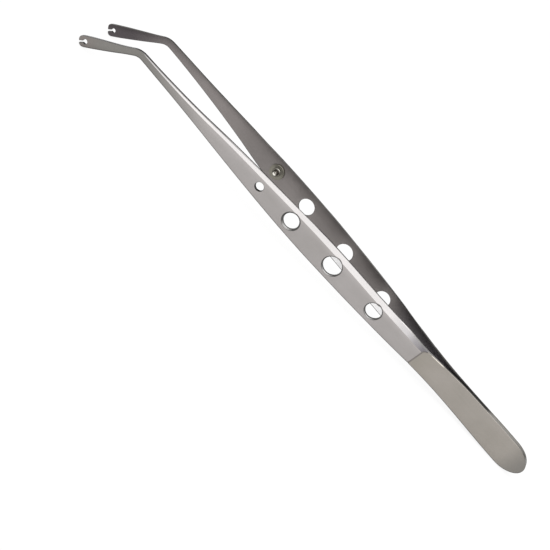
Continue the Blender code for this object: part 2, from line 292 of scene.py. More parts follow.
def distance(points, line, closed):
    """Least distance from each point to a line or closed loop."""
    ends = np.roll(line, -1, 0) if closed else line[1:]
    starts = line if closed else line[:-1]
    best = np.full(len(points), 1e9)
    for k in range(0, len(starts), 256):
        start = starts[k:k + 256]
        step = ends[k:k + 256] - start
        part = ((points[:, None] - start[None]) * step[None]).sum(2) / (step * step).sum(1)[None]
        foot = start[None] + np.clip(part, 0, 1)[..., None] * step[None]
        best = np.minimum(best, np.linalg.norm(points[:, None] - foot, axis=2).min(1))
    return best


# The ring functions return, from a face to the wall, each ring's (inset, depth) per point,
# and for each band between rings the normal's lean from the face at both its sides.
def fillet_rings(strip, loop, inner):
    along, across = loop[:, 0], loop[:, 1]
    radius = depth = strip.rim_radius(along, across)
    segments = 4
    if inner:                                   # the upper edge is broken deeper on the inner face
        broken = 0.26 * ramp(along, 50, 58) * (1 - ramp(along, 158, 166))
        depth = np.where(across > 0, np.maximum(radius, broken), radius)
    leans = [math.pi / 2 * k / segments for k in range(segments + 1)]
    rows = [(radius * (1 - math.sin(lean)), depth * (1 - math.cos(lean))) for lean in leans]
    spans = list(zip(leans, leans[1:]))
    if inner:                                   # and a line of the wall beside it is kept
        kept = 0.12 + 0.24 * ramp(along, 54, 60) * (1 - ramp(along, 92, 100))
        rows.append((radius * 0, depth + kept))
        spans.append((math.pi / 2, math.pi / 2))
    return rows, spans


def chamfer_rings(count, width, height, inner):
    first = width + edge_break(width)
    if inner:                                   # the holes are nearly sharp on the inner face
        width = height = min(0.08, width * 0.6)
    small = edge_break(width)
    lean = math.atan2(height, width)
    rows = [(width + small, 0.0), (width - small * 0.6, small * 0.35),
            (small * 0.5, height - small * 0.5), (0.0, height + small)]
    spans = [(0.0, lean), (lean, lean), (lean, math.pi / 2)]
    if inner:
        rows = [(first, 0.0)] + rows
        spans = [(0.0, 0.0)] + spans
    return [(np.full(count, inset), np.full(count, depth)) for inset, depth in rows], spans


class Rim:
    """One closed outline with its rings. kind is "edge", "hole" or "guide"."""

    def __init__(self, kind, loop, outer_rings, inner_rings):
        self.kind, self.loop, self.outward = kind, loop, outward(loop)
        self.outer_rows, self.outer_spans = outer_rings
        self.inner_rows, self.inner_spans = inner_rings
        self.face_inset = self.outer_rows[0][0][:, None]
        self.inset = loop - self.outward * self.face_inset


def hole_rim(kind, place, radius, count, width, height):
    """A round hole with chamfers."""
    rings = [chamfer_rings(count, width, height, inner) for inner in (False, True)]
    return Rim(kind, ring(place, radius, count), *rings)


class Strip:
    """The shape of one strip."""

    def __init__(self, side):
        self.side = side
        self.bend_at = BEND_AT + BEND_OFF[side]
        self.keyhole_at = KEYHOLE_AT + KEY_OFF[side][0]
        self.land = TIP_LAND + KEY_OFF[side][1]
        self.keyhole_r = KEYHOLE_R[side]
        self.grip_holes = [(place, (front if side == FRONT else rear) / 2, width, height)
                           for place, front, rear, width, height in GRIP_HOLES]

    def half_width(self, along):
        width = (full_width(along) + FLARE[self.side] * ramp(along, 166.0, 172.0)) / 2
        end = np.clip((HEEL_ROUND - along) / HEEL_ROUND, 0, 1)
        return width * np.sqrt(np.clip(1 - end * end, 0, 1))

    def rim_radius(self, along, across):
        """Edge rounding, upper and lower edges meeting gently round the ends."""
        upper = np.clip(0.5 + across / 1.6, 0, 1)
        radius = rim_lower(along) * (1 - upper) + rim_upper(along) * upper
        near = 1 - ramp(np.hypot(along - self.keyhole_at, across), 1.0, 1.5)   # sharper at the keyhole
        return radius * (1 - near) + np.minimum(radius, 0.085) * near

    def outer_height(self, along, across):
        """Height of the outer face over the middle plane."""
        half = self.half_width(along)
        height = half_gap(along) + THICK
        start = step_place(across)
        height = height - 0.05 * np.clip((along - start + 0.05) / 0.10, 0, 1)   # ground from the step on
        height = height - 0.10 * np.exp(-0.5 * ((along - start - 0.22) / 0.13) ** 2)   # groove along it
        height = height + crown(along) * (1 - np.clip(across / np.maximum(half, 0.3), -1, 1) ** 2)
        width = bevel_width(along)
        height = height - (np.maximum(bevel_depth(along), 0)
                           * np.clip((across - (half - width)) / width, 0, 1.3)
                           * (along > BEVEL_FROM) * (along < BEVEL_TO + 0.3))
        for place in WELDS_AT:                  # sunk marks of the welding tips
            height = height - 0.030 * (1 - ramp(np.hypot(along - place, across), 1.2, 2.0))
        return height

    def warp(self, along, across):
        """How far the finished edge stands off the drawn one, across the strip."""
        half = self.half_width(along)
        if self.side == FRONT:
            width = np.maximum(bevel_width(along), 0.3)
            return (crest(along) * np.clip((across - (half - width)) / width, 0, 1.1)
                    - 0.16 * ramp(along, 165.0, 174.0))
        whole = ramp(along, 117.0, 130.0)       # up to the guide pin only the upper margin
        margin = np.clip((across - 3.0) / np.maximum(half - 3.0, 0.6), 0, 1.1)
        low = (0.17 * ramp(along, 100.0, 108.0) * (1 - ramp(along, 119.0, 134.0))
               * np.clip((-across - (half - 1.6)) / 1.6, 0, 1.1))
        return rise(along) * (whole + (1 - whole) * margin) - low

    def lay(self, along, across, height):
        """Plate coordinates to own axes."""
        turn = np.clip((along - self.bend_at) / BEND_R, 0, BEND_ANGLE)
        rest = np.where(along > self.bend_at, along - self.bend_at - BEND_R * turn, 0)
        x = -(np.minimum(along, self.bend_at) + BEND_R * np.sin(turn) + rest * np.cos(turn))
        z = -BEND_R * (1 - np.cos(turn)) - rest * np.sin(turn)
        across = across + self.warp(along, across)
        return np.stack([x - across * np.sin(turn), self.side * height, z + across * np.cos(turn)], -1)

    def tangents(self, along, across, height):
        """Surface directions along and across, not normalised."""
        tiny = 1e-4
        lengthwise = (self.lay(along + tiny, across, height(along + tiny, across))
                      - self.lay(along - tiny, across, height(along - tiny, across)))
        crosswise = (self.lay(along, across + tiny, height(along, across + tiny))
                     - self.lay(along, across - tiny, height(along, across - tiny)))
        return lengthwise, crosswise

    def face_normal(self, along, across, height, sign):
        """sign is 1 for the outer face and -1 for the inner one."""
        normal = unit(np.cross(*self.tangents(along, across, height)))
        normal[np.sign(normal[:, 1]) != np.sign(sign * self.side)] *= -1
        return normal

    def bevel_foot(self, along):
        """The bevel's lower edge, passing just above the rims of the holes."""
        foot = self.half_width(along) - bevel_width(along)
        for place, radius, width, _ in self.grip_holes:
            clear = radius + width + edge_break(width) + 0.12
            foot = np.maximum(foot, np.sqrt(np.maximum(clear * clear - (along - place) ** 2, 0)))
        return foot

    def tip_half(self, drift):
        """Upper half of the tip down to the slit's root, and the wall's angle on the keyhole.
        drift is the slit wall's slope."""
        at, land, power = self.keyhole_at, self.land, TIP_SQUARENESS[self.side]
        half = float(self.half_width(at))
        edge = SLIT + drift * land * 0.99
        end = []
        count = 16
        for k in range(count + 1):
            angle = math.pi / 2 * (1 - k / count)
            end.append((at + land * max(math.cos(angle), 0) ** (2 / power),
                        half * math.sin(angle) ** (2 / power)))
        end = [point for point in end if point[1] > edge + 0.24]
        mouth = (at + land * (1 - (edge / half) ** power) ** (1 / power), edge)
        # where the slit's wall meets the keyhole
        square, linear = 1 + drift * drift, SLIT * drift
        root_x = (-linear + math.sqrt(linear * linear
                                      - square * (SLIT ** 2 - self.keyhole_r ** 2))) / square
        root = (at + root_x, SLIT + drift * root_x)
        angle = math.atan2(root[1], root_x) + 0.22
        first = (at + self.keyhole_r * math.cos(angle), self.keyhole_r * math.sin(angle))
        walls = [(mouth[0] + (root[0] - mouth[0]) * part, mouth[1] + (root[1] - mouth[1]) * part)
                 for part in (0.45, 0.7)]
        return (end + round_corner(end[-1], mouth, root, 0.17, 5) + walls
                + round_corner(mouth, root, first, 0.12, 4)), angle

    def outline(self):
        """Heel to tip on the upper side, round the keyhole and back: material on the right."""
        edge = [(place, float(self.half_width(place))) for place in edge_stations(self.keyhole_at)]
        upper, upper_angle = self.tip_half(-SLANT)
        lower, lower_angle = self.tip_half(SLANT)
        circle = []
        count = 30
        for k in range(count + 1):
            angle = upper_angle + (2 * math.pi - upper_angle - lower_angle) * k / count
            circle.append((self.keyhole_at + self.keyhole_r * math.cos(angle),
                           self.keyhole_r * math.sin(angle)))
        back = [(x, -y) for x, y in reversed(edge + lower)]
        return np.array([(0.0, 0.0)] + edge + upper + circle + back)

    def rims(self):
        edge = self.outline()
        rims = [Rim("edge", edge, *(fillet_rings(self, edge, inner) for inner in (False, True)))]
        for place, radius, width, height in self.grip_holes:
            rims.append(hole_rim("hole", place, radius, 72, width, height))
        if self.side == FRONT:
            rims.append(hole_rim("guide", PIN_AT, GUIDE_HOLE_D / 2, 48, 0.10, 0.10))
        else:
            rims.append(hole_rim("hole", PIN_SEAT, PIN_R + 0.03, 40, 0.06, 0.06))
        return rims


# ----------------------------------------------------------------- flat sheet
STEP_LINES = (-0.05, 0.05, 0.22, 0.40)          # mesh lines along the step, off its start


def crease_lines(strip):
    """The bevel's lower edge and the step, kept as edges of the mesh."""
    lines = [np.array([(along, float(strip.bevel_foot(along)))
                       for along in np.arange(47.3, BEVEL_TO - 0.3, 0.8)])]
    reach = STEP_HALF - 0.40
    for off in STEP_LINES:
        lines.append(np.array([(float(step_place(across)) + off, across)
                               for across in reach * (1 - 2 * np.linspace(1, 0, 24) ** 1.6)]))
    return lines


def filling_points(strip, rims, lines):
    """A staggered grid, clear of rims and creases."""
    grid = []
    along = 0.7
    row = 0
    while along < LENGTH - 0.5:
        half = float(strip.half_width(along))
        count = max(1, int(round(2 * half / (0.62 if along < 24 else 0.85))))
        for k in range(count):
            grid.append((along, ((k + 0.5 + (0.0 if row % 2 else 0.02)) / count * 2 - 1) * half))
        along += 0.55 if along < 24 else 0.85 if along < BEND_AT else 0.5
        row += 1
    grid = np.array(grid)
    keep = in_material(grid, rims)
    for rim in rims:
        keep &= distance(grid, rim.inset, closed=True) > 0.24
    for line in lines:
        keep &= distance(grid, line, closed=False) > 0.22
    return grid[keep]


def flat_sheet(strip, rims):
    """The face in the plane: points, triangles, and the point numbers of each rim."""
    flat, edges, spans = [], [], []
    for rim in rims:
        start, size = len(flat), len(rim.inset)
        flat += [tuple(point) for point in rim.inset]
        edges += [(start + k, start + (k + 1) % size) for k in range(size)]
        spans.append(slice(start, start + size))
    lines = crease_lines(strip)
    for line in lines:
        start = len(flat)
        flat += [tuple(point) for point in line]
        edges += [(start + k, start + k + 1) for k in range(len(line) - 1)]
    flat += [tuple(point) for point in filling_points(strip, rims, lines)]
    points, _, tris, sources, _, _ = delaunay_2d_cdt([Vector(point) for point in flat],
                                                     edges, [], 0, 1e-7, True)
    points = np.array([tuple(point) for point in points], float)
    number = np.full(len(flat), -1)
    for k, source in enumerate(sources):
        for i in source:
            number[i] = k
    rim_ids = [number[span] for span in spans]
    tris = np.array(tris)
    keep = in_material(points[tris].mean(1), rims)
    side_1 = points[tris[:, 1]] - points[tris[:, 0]]
    side_2 = points[tris[:, 2]] - points[tris[:, 0]]
    area = side_1[:, 0] * side_2[:, 1] - side_1[:, 1] * side_2[:, 0]
    tris[area < 0] = tris[area < 0][:, ::-1]

    # a thin triangle on a rim goes the way of the one across its free side
    def sides(triangle):
        i, j, k = triangle
        return [(min(pair), max(pair)) for pair in ((i, j), (j, k), (k, i))]

    on_rim = set()
    for ids in rim_ids:
        on_rim |= {(min(i, j), max(i, j)) for i, j in zip(ids.tolist(), np.roll(ids, -1).tolist())}
    beside = {}
    for t, triangle in enumerate(tris.tolist()):
        for pair in sides(triangle):
            beside.setdefault(pair, []).append(t)
    longest = np.linalg.norm(points[tris] - points[np.roll(tris, 1, 1)], axis=2).max(1)
    thin = np.abs(area) / longest < 0.012
    for t in np.nonzero(thin)[0]:
        free = [other for pair in sides(tris[t].tolist()) if pair not in on_rim
                for other in beside[pair] if other != t and not thin[other]]
        if free:
            keep[t] = keep[max(free, key=lambda other: abs(area[other]))]
    return points, tris[keep], rim_ids


# ---------------------------------------------------------------- strip meshes
# Zones of a strip, numbered as its material slots
HEEL, BLADE, BEVEL, INNER, UPPER, WALL, STEP, LOWER, CONE, GUIDE, LINE = range(11)
STRIP_UNITS = 0.01                # "strip" map: 1 unit is 100 mm
BORDER_UNITS = 0.1                # "border" map: 1 unit is 10 mm


class Skin:
    """Gathers the points and faces of a strip."""

    def __init__(self):
        self.places, self.flats = [], []
        self.faces, self.normals, self.zones = [], [], []
        self.count = 0

    def add_points(self, strip, flat, height):
        self.places.append(strip.lay(flat[:, 0], flat[:, 1], height))
        self.flats.append(flat)
        self.count += len(flat)
        return np.arange(self.count - len(flat), self.count)


def outer_zones(strip, along, across):
    start = step_place(across)
    zones = np.where(along < start, HEEL, BLADE)
    above = (along > start + STEP_LINES[-1]) & (along < BEVEL_TO)
    above &= across > strip.bevel_foot(along) + 1e-4
    zones = np.where(above, BEVEL, zones)
    return np.where((along > start + STEP_LINES[0]) & (along < start + STEP_LINES[-1]), STEP, zones)


def band_zone(strip, rim, band, last, along, across_sum):
    """Zone of one face of a rim's band. The bands run from the outer face to the inner one."""
    wall = len(rim.outer_spans)
    if rim.kind != "edge":
        if band == last:
            return INNER
        if rim.kind == "guide":
            return GUIDE
        return CONE if band < wall else WALL
    if across_sum < 0:
        return LOWER
    if band < wall and along < STEP_AT - 1.4:
        return HEEL
    # painted shade: on the front strip past 54 mm the inner side of the upper edge takes a dark material
    if strip.side == FRONT and band > wall and along > 54:
        return LINE                             # the inner side of the upper edge stays dark
    return UPPER


def add_face(skin, strip, points, tris, height, sign):
    """The outer (sign 1) or inner (sign -1) face. Returns its point numbers."""
    ids = skin.add_points(strip, points, height(points[:, 0], points[:, 1]))
    middle = points[tris].mean(1)
    corners = points[tris]
    near = corners + (middle[:, None] - corners) * 0.03
    normals = strip.face_normal(near[..., 0].ravel(), near[..., 1].ravel(), height, sign)
    skin.faces += ids[tris].tolist()
    skin.normals += list(normals.reshape(len(tris), 3, 3))
    if sign > 0:
        skin.zones += list(outer_zones(strip, middle[:, 0], middle[:, 1]))
    else:
        skin.zones += [INNER] * len(tris)
    return ids


def add_rim(skin, strip, rim, outer_ids, inner_ids):
    """The bands that join the outer face to the inner one round one outline."""
    rings = [outer_ids]
    base = strip.outer_height(rim.inset[:, 0], rim.inset[:, 1])
    for inset, depth in rim.outer_rows[1:]:
        flat = rim.loop - rim.outward * inset[:, None]
        rings.append(skin.add_points(strip, flat, base - depth))
    for inset, depth in reversed(rim.inner_rows[1:]):
        flat = rim.loop - rim.outward * inset[:, None]
        rings.append(skin.add_points(strip, flat, inner_height(flat[:, 0], flat[:, 1]) + depth))
    rings.append(inner_ids)

    along, across = rim.loop[:, 0], rim.loop[:, 1]
    lengthwise, crosswise = strip.tangents(along, across, lambda place, _: half_gap(place))
    sideways = unit(unit(lengthwise) * rim.outward[:, :1] + unit(crosswise) * rim.outward[:, 1:])
    flat = rim.loop - rim.outward * (rim.face_inset + 0.01)
    outer = strip.face_normal(flat[:, 0], flat[:, 1], strip.outer_height, 1)
    inner = strip.face_normal(flat[:, 0], flat[:, 1], inner_height, -1)
    bands = [(start, end, outer) for start, end in rim.outer_spans]
    bands.append((math.pi / 2, math.pi / 2, outer))
    bands += [(end, start, inner) for start, end in reversed(rim.inner_spans)]
    for band, (start, end, face) in enumerate(bands):
        first = unit(face * math.cos(start) + sideways * math.sin(start))
        second = unit(face * math.cos(end) + sideways * math.sin(end))
        near, far = rings[band].tolist(), rings[band + 1].tolist()
        for i in range(len(rim.loop)):
            j = (i + 1) % len(rim.loop)
            skin.faces.append([near[i], near[j], far[j], far[i]])
            skin.normals.append(np.stack([first[i], first[j], second[j], second[i]]))
            skin.zones.append(band_zone(strip, rim, band, len(bands) - 1,
                                        along[i], across[i] + across[j]))


def strip_mesh(name, strip, skin):
    """The mesh, each face wound to agree with its own normals, with its two UV maps."""
    places = to_frame(np.concatenate(skin.places))
    flats = np.concatenate(skin.flats)
    faces, normals = [], []
    for face, normal in zip(skin.faces, skin.normals):
        corners = places[face]
        if len(face) == 3:
            facing = np.cross(corners[1] - corners[0], corners[2] - corners[0])
        else:
            facing = np.cross(corners[2] - corners[0], corners[3] - corners[1])
        normal = turn_to_frame(normal)
        if facing @ normal.mean(0) < 0:
            face, normal = face[::-1], normal[::-1]
        faces.append(face)
        normals.append(normal)
    mesh = bpy.data.meshes.new(name)
    mesh.from_pydata([tuple(point) for point in places], [], faces)
    mesh.update()

    def add_map(map_name, values):
        layer = mesh.uv_layers.new(name=map_name)
        layer.data.foreach_set("uv", values.astype(np.float32).ravel())

    corners = np.array([flats[i] for face in faces for i in face])
    add_map("strip", corners * STRIP_UNITS)
    # distance in from the lower and the upper edge
    half = strip.half_width(corners[:, 0])
    inwards = np.stack([corners[:, 1] + half, half - corners[:, 1]], 1)
    add_map("border", np.clip(inwards, 0, 20) * BORDER_UNITS)
    mesh.polygons.foreach_set("material_index", np.array(skin.zones, np.int32))
    mesh.shade_smooth()
    mesh.normals_split_custom_set([tuple(vector) for normal in normals for vector in normal])
    mesh.validate(clean_customdata=False)
    return mesh


def add_object(name, data):
    thing = bpy.data.objects.new(name, data)
    bpy.context.scene.collection.objects.link(thing)
    return thing


def plate(name, side):
    """One strip as a closed mesh with exact face normals."""
    strip = Strip(side)
    rims = strip.rims()
    points, tris, rim_ids = flat_sheet(strip, rims)
    skin = Skin()
    outer_ids = add_face(skin, strip, points, tris, strip.outer_height, 1)
    inner_ids = add_face(skin, strip, points, tris, inner_height, -1)
    for rim, ids in zip(rims, rim_ids):
        add_rim(skin, strip, rim, outer_ids[ids], inner_ids[ids])
    return add_object(name, strip_mesh(name, strip, skin))


# ------------------------------------------------------------------ materials
class Graph:
    """Adds shader nodes to a tree. An input is given as a value or as the socket that feeds it."""

    def __init__(self, owner):
        owner.use_nodes = True
        self.tree = owner.node_tree

    def node(self, kind, inputs=None, **settings):
        node = self.tree.nodes.new(kind)
        for name, setting in settings.items():
            setattr(node, name, setting)
        for socket, source in (inputs or {}).items():
            if isinstance(source, bpy.types.NodeSocket):
                self.tree.links.new(source, node.inputs[socket])
            else:
                node.inputs[socket].default_value = source
        return node

    def math(self, operation, first, second, clamp=False):
        return self.node("ShaderNodeMath", {0: first, 1: second},
                         operation=operation, use_clamp=clamp).outputs[0]

    def smoothstep(self, source, start, end, low=0.0, high=1.0):
        """low at start to high at end."""
        return self.node("ShaderNodeMapRange",
                         {"Value": source, "From Min": start, "From Max": end,
                          "To Min": low, "To Max": high},
                         interpolation_type="SMOOTHSTEP").outputs[0]

    def mix_colour(self, factor, first, second, blend="MIX"):
        # sockets 6 and 7 are the colours A and B
        return self.node("ShaderNodeMix", {0: factor, 6: first, 7: second},
                         data_type="RGBA", blend_type=blend).outputs[2]

    def noise(self, vector, stretch, detail, roughness):
        mapping = self.node("ShaderNodeMapping", {"Vector": vector, "Scale": stretch})
        return self.node("ShaderNodeTexNoise",
                         {"Vector": mapping.outputs["Vector"], "Scale": 1.0,
                          "Detail": detail, "Roughness": roughness}).outputs["Fac"]

    def uv(self, name):
        return self.node("ShaderNodeUVMap", uv_map=name).outputs["UV"]

    def split(self, vector):
        return self.node("ShaderNodeSeparateXYZ", {0: vector}).outputs


def rgba(tone):
    """A colour, or a grey from one number, with alpha."""
    return (*(tone if isinstance(tone, tuple) else (tone,) * 3), 1)


LOWER_EDGE, UPPER_EDGE = "X", "Y"               # axes of the "border" map


def border_tone(graph, colour, edge, start, end, tone, reach=None):
    """Tones a colour near one edge of the strip, optionally only where reach sets in."""
    tinted = isinstance(tone, tuple)
    amount = graph.smoothstep(graph.split(graph.uv("border"))[edge],
                              start * BORDER_UNITS, end * BORDER_UNITS,
                              low=1.0 if tinted else tone, high=0.0 if tinted else 1.0)
    if reach:
        within = graph.smoothstep(graph.split(graph.uv("strip"))["X"],
                                  reach[1] * STRIP_UNITS, reach[0] * STRIP_UNITS)
        if tinted:
            amount = graph.math("MULTIPLY", amount, within)
        else:
            change = graph.math("MULTIPLY", graph.math("SUBTRACT", amount, 1.0), within)
            amount = graph.math("ADD", change, 1.0)
    if tinted:
        return graph.mix_colour(amount, colour, rgba(tone), "MULTIPLY")
    return graph.node("ShaderNodeVectorMath", {0: colour, "Scale": amount},
                      operation="SCALE").outputs["Vector"]


def steel(name, colour, rough, grain, mottle, aniso=0.0, grain_scale=1.0, micro=0.0, tint=None,
          fade=(), border=(), lit=None, lean=(0.36, 0.66)):
    """Worked stainless steel.

    grain: depth of the lines; mottle: cloudiness of the finish; micro: blasted grit
    aniso: above 0 the lines run along the strip, else they follow the object's axes
    fade: (from mm, to mm, factor), the factor reached in full at the second place along the strip
    border: (edge, from mm, to mm, factor[, (full mm, none mm)]), toned near an edge, optionally
        only on one side along the strip; a tuple is a colour factor
    lit: painted highlight, a lighter colour given to cut faces that lean upwards, between the two values
    of lean
    """
    material = bpy.data.materials.new(name)
    graph = Graph(material)
    graph.tree.nodes.clear()
    math_node, noise = graph.math, graph.noise

    def about_zero(source, scale):
        return math_node("MULTIPLY", math_node("SUBTRACT", source, 0.5), scale)

    local = graph.node("ShaderNodeTexCoord").outputs["Object"]
    if aniso > 0:
        base = graph.uv("strip")
        along, across = 7.0, 900.0
        lines = noise(base, (along * grain_scale, across * grain_scale, 1.0), 5.0, 0.62)
        fine = noise(base, (along * 3.1 * grain_scale, across * 2.6 * grain_scale, 1.0), 3.0, 0.6)
        scratch = noise(base, (2.2, 240.0, 1.0), 2.0, 0.5)
    else:
        lines = noise(local, (1500.0, 1500.0, 9000.0), 4.0, 0.6)
        fine = noise(local, (3000.0, 3000.0, 16000.0), 3.0, 0.6)
        scratch = noise(local, (300.0, 300.0, 2600.0), 2.0, 0.5)
    cloud = noise(local, (62.0, 62.0, 90.0), 4.0, 0.6)
    blot = noise(local, (210.0, 210.0, 260.0), 5.0, 0.6)
    scratch = math_node("SUBTRACT", scratch, 0.66, clamp=True)
    scratch = math_node("MULTIPLY", scratch, 5.0, clamp=True)

    # colour
    amount = math_node("ADD", about_zero(cloud, 2.2), about_zero(lines, 1.0))
    shade = graph.mix_colour(math_node("ADD", amount, 0.5, clamp=True),
                             (*[x * (1 - mottle) for x in colour], 1),
                             (*[min(x * (1 + mottle), 1) for x in (tint or colour)], 1))
    if fade:
        place = graph.split(graph.uv("strip"))["X"]
        for start, end, tone in fade:
            amount = graph.smoothstep(place, start * STRIP_UNITS, end * STRIP_UNITS)
            shade = graph.mix_colour(amount, shade, rgba(tone), "MULTIPLY")
    for entry in border:
        shade = border_tone(graph, shade, *entry)
    if lit:
        # painted highlight: faces whose normal points upwards take the lit colour
        normal = graph.node("ShaderNodeNewGeometry").outputs["Normal"]
        amount = graph.smoothstep(graph.split(normal)["Z"], *lean)
        shade = graph.mix_colour(amount, shade, rgba(lit))

    # roughness
    dull = math_node("ADD", rough - 0.5 * (0.10 + mottle),
                     math_node("MULTIPLY", cloud, 0.10 + mottle))
    dull = math_node("ADD", dull, about_zero(fine, 0.10))
    dull = math_node("ADD", dull, about_zero(blot, 0.08))
    dull = math_node("ADD", dull, math_node("MULTIPLY", scratch, -0.05))

    # relief
    relief = math_node("ADD", math_node("MULTIPLY", lines, 1.0), math_node("MULTIPLY", fine, 0.5))
    relief = math_node("SUBTRACT", relief, math_node("MULTIPLY", scratch, 0.7))
    if micro > 0:
        grit = noise(local, (5200.0, 5200.0, 5200.0), 3.0, 0.6)
        relief = math_node("ADD", relief, math_node("MULTIPLY", grit, micro))
    bump = graph.node("ShaderNodeBump", {"Strength": grain, "Distance": 0.00002, "Height": relief})

    inputs = {"Base Color": shade, "Metallic": 1.0, "Roughness": math_node("MAXIMUM", dull, 0.06),
              "Anisotropic": aniso, "Normal": bump.outputs[0]}
    if aniso > 0:
        inputs["Tangent"] = graph.node("ShaderNodeTangent", direction_type="UV_MAP",
                                       uv_map="strip").outputs[0]
    surface = graph.node("ShaderNodeBsdfPrincipled", inputs)
    graph.node("ShaderNodeOutputMaterial", {"Surface": surface.outputs[0]})
    return material


# faces of the strips
# heel: the darkening along the lower and upper edges is painted shade, and the lift on the upper rim
# between about 40 and 44.6 mm is a painted glint
heel_satin = steel(
    "heel_satin", colour=(0.318, 0.296, 0.266), rough=0.40, grain=0.35, grain_scale=0.8,
    aniso=0.2, mottle=0.09, micro=1.4, tint=(0.316, 0.292, 0.268),
    fade=((9.0, 0.0, (0.64, 0.655, 0.67)), (36.0, 45.0, (0.95, 0.95, 0.93))),
    border=((LOWER_EDGE, 0.05, 0.40, 0.68), (UPPER_EDGE, 0.08, 0.45, 0.84),
            (UPPER_EDGE, 0.12, 0.34, 2.2, (43.6, 44.6)),
            (UPPER_EDGE, 0.12, 0.34, 1 / 2.2, (38.6, 40.0))))
# blade: darker towards the tip; the darkening along the lower edge is painted shade, and the lift within
# 3.4 mm of the upper edge is a painted sheen
blade_ground = steel(
    "blade_ground", colour=(0.345, 0.326, 0.315), rough=0.33, grain=0.45, aniso=0.45,
    mottle=0.09, tint=(0.343, 0.324, 0.319),
    fade=((132.0, 166.0, (0.525, 0.535, 0.515)), (176.0, 183.0, (1.06, 1.0, 1.0))),
    border=((LOWER_EDGE, 0.05, 0.50, 0.42), (UPPER_EDGE, 1.2, 3.4, 1.14)))
# bevel: partly its own polish; its high tone and the fades along it are a painted highlight, dimmed
# towards the step and the tip end and raised near 140 mm
bevel_painted_highlight = steel(
    "bevel_painted_highlight", colour=(0.756, 0.732, 0.726), rough=0.24, grain=0.30, aniso=0.4, mottle=0.05,
    fade=((62.0, 55.0, (0.80, 0.80, 0.81)), (55.2, 49.4, (0.53, 0.525, 0.54)),
          (49.8, 47.0, (0.64, 0.63, 0.65)), (116.0, 134.0, 0.99), (132.0, 144.0, 1.10),
          (146.0, 156.0, (0.84, 0.845, 0.85)), (161.5, 164.3, (0.45, 0.46, 0.45))))
# inner face: the fades paint shade darker towards the heel, where the strips close, and lighter again
# below 38 to 54 mm; other fades tone it along the strip, darkest at the tip. The border darkening near the
# upper edge is painted shade, and the lift near the lower edge up to 92 to 100 mm is painted light, almost
# white, where it shows through the front strip's holes
inner_grey = steel(
    "inner_grey", colour=(0.250, 0.230, 0.222), rough=0.40, grain=0.45, grain_scale=0.7,
    aniso=0.35, mottle=0.12,
    fade=((108.0, 88.0, 0.87), (66.0, 54.0, (0.72, 0.73, 0.76)), (54.0, 38.0, (1.60, 1.60, 1.65)),
          (104.0, 122.0, 0.84), (124.0, 140.0, (1.14, 1.13, 1.14)), (146.0, 154.0, 0.88),
          (158.0, 179.0, (0.42, 0.41, 0.44))),
    border=((UPPER_EDGE, 0.1, 1.8, 0.80),
            (LOWER_EDGE, 1.7, 2.9, (3.85, 4.15, 4.30), (92.0, 100.0))))

# edges of the strips
# front upper edge: its high tone is a painted highlight, and the fades paint it dimmer towards the tip and
# dark from the step to about 19 mm, lighter again nearer the heel
upper_front = steel(
    "upper_edge_front", colour=(0.70, 0.68, 0.67), rough=0.17, grain=0.30, mottle=0.08,
    fade=((57.0, 50.5, (0.37, 0.37, 0.365)), (50.0, 48.0, (0.72, 0.72, 0.74)),
          (42.5, 37.5, (0.07, 0.07, 0.068)), (22.0, 18.8, 17.5), (12.0, 5.0, (0.44, 0.44, 0.43)),
          (66.0, 86.0, 0.68), (98.0, 120.0, 0.52), (124.0, 134.0, 0.62)))
# rear upper edge: dark as painted shade, darker towards the heel and lighter again below about 18 mm
upper_rear = steel(
    "upper_edge_rear", colour=(0.10, 0.095, 0.09), rough=0.30, grain=0.30, mottle=0.08,
    fade=((76.0, 60.0, 0.40), (38.0, 30.0, (0.35, 0.35, 0.34)), (21.5, 18.0, (12.0, 12.0, 11.8))))
# painted shade: the lower edges are given a near-black tone
lower_edge = steel("lower_edge", colour=(0.10, 0.097, 0.094), rough=0.34, grain=0.35, mottle=0.08)

# holes and lines
# painted shade: the walls of the grip holes are near black
hole_wall = steel("hole_wall", colour=(0.11, 0.105, 0.10), rough=0.30, grain=0.30, mottle=0.08)
# hole chamfers: dark as painted shade, with a painted highlight where they lean upwards
hole_chamfer = steel("hole_chamfer", colour=(0.085, 0.083, 0.08), rough=0.28, grain=0.25,
                     mottle=0.06, lit=(0.32, 0.315, 0.31))
# painted shade: the guide hole's wall is almost black
guide_wall = steel("guide_hole_wall", colour=(0.035, 0.034, 0.033), rough=0.36, grain=0.30,
                   mottle=0.08)
# painted shade: the inner side of the front strip's upper edge is dark
inner_side_painted_shade = steel("upper_edge_inner_side_painted_shade", colour=(0.085, 0.083, 0.08), rough=0.36, grain=0.30,
                   mottle=0.08)
# painted shadow: the narrow band along the step is darker than the faces either side
step_line = steel("step_line", colour=(0.205, 0.19, 0.178), rough=0.40, grain=0.35, mottle=0.08)

# pin and welds
# pin dome: polished, and its near-white cream tone is a painted highlight
pin_polish_painted_highlight = steel("pin_polish_painted_highlight", colour=(0.88, 0.86, 0.78), rough=0.16, grain=0.15, mottle=0.05)
pin_collar = steel("pin_collar", colour=(0.215, 0.205, 0.172), rough=0.38, grain=0.30, mottle=0.10)
# pin hub edge: dark as painted shade, with a painted highlight where it faces upwards
pin_hub = steel("pin_hub_edge", colour=(0.16, 0.152, 0.126), rough=0.26, grain=0.25, mottle=0.08,
                lit=(0.50, 0.48, 0.44), lean=(0.30, 0.65))
# painted shade: the shank between the dome and the hub is very dark
pin_shank = steel("pin_shank", colour=(0.085, 0.077, 0.066), rough=0.26, grain=0.25, mottle=0.08)
weld_burnt = steel("weld_burnt", colour=(0.20, 0.18, 0.17), rough=0.5, grain=0.6, mottle=0.2,
                   micro=2.0)

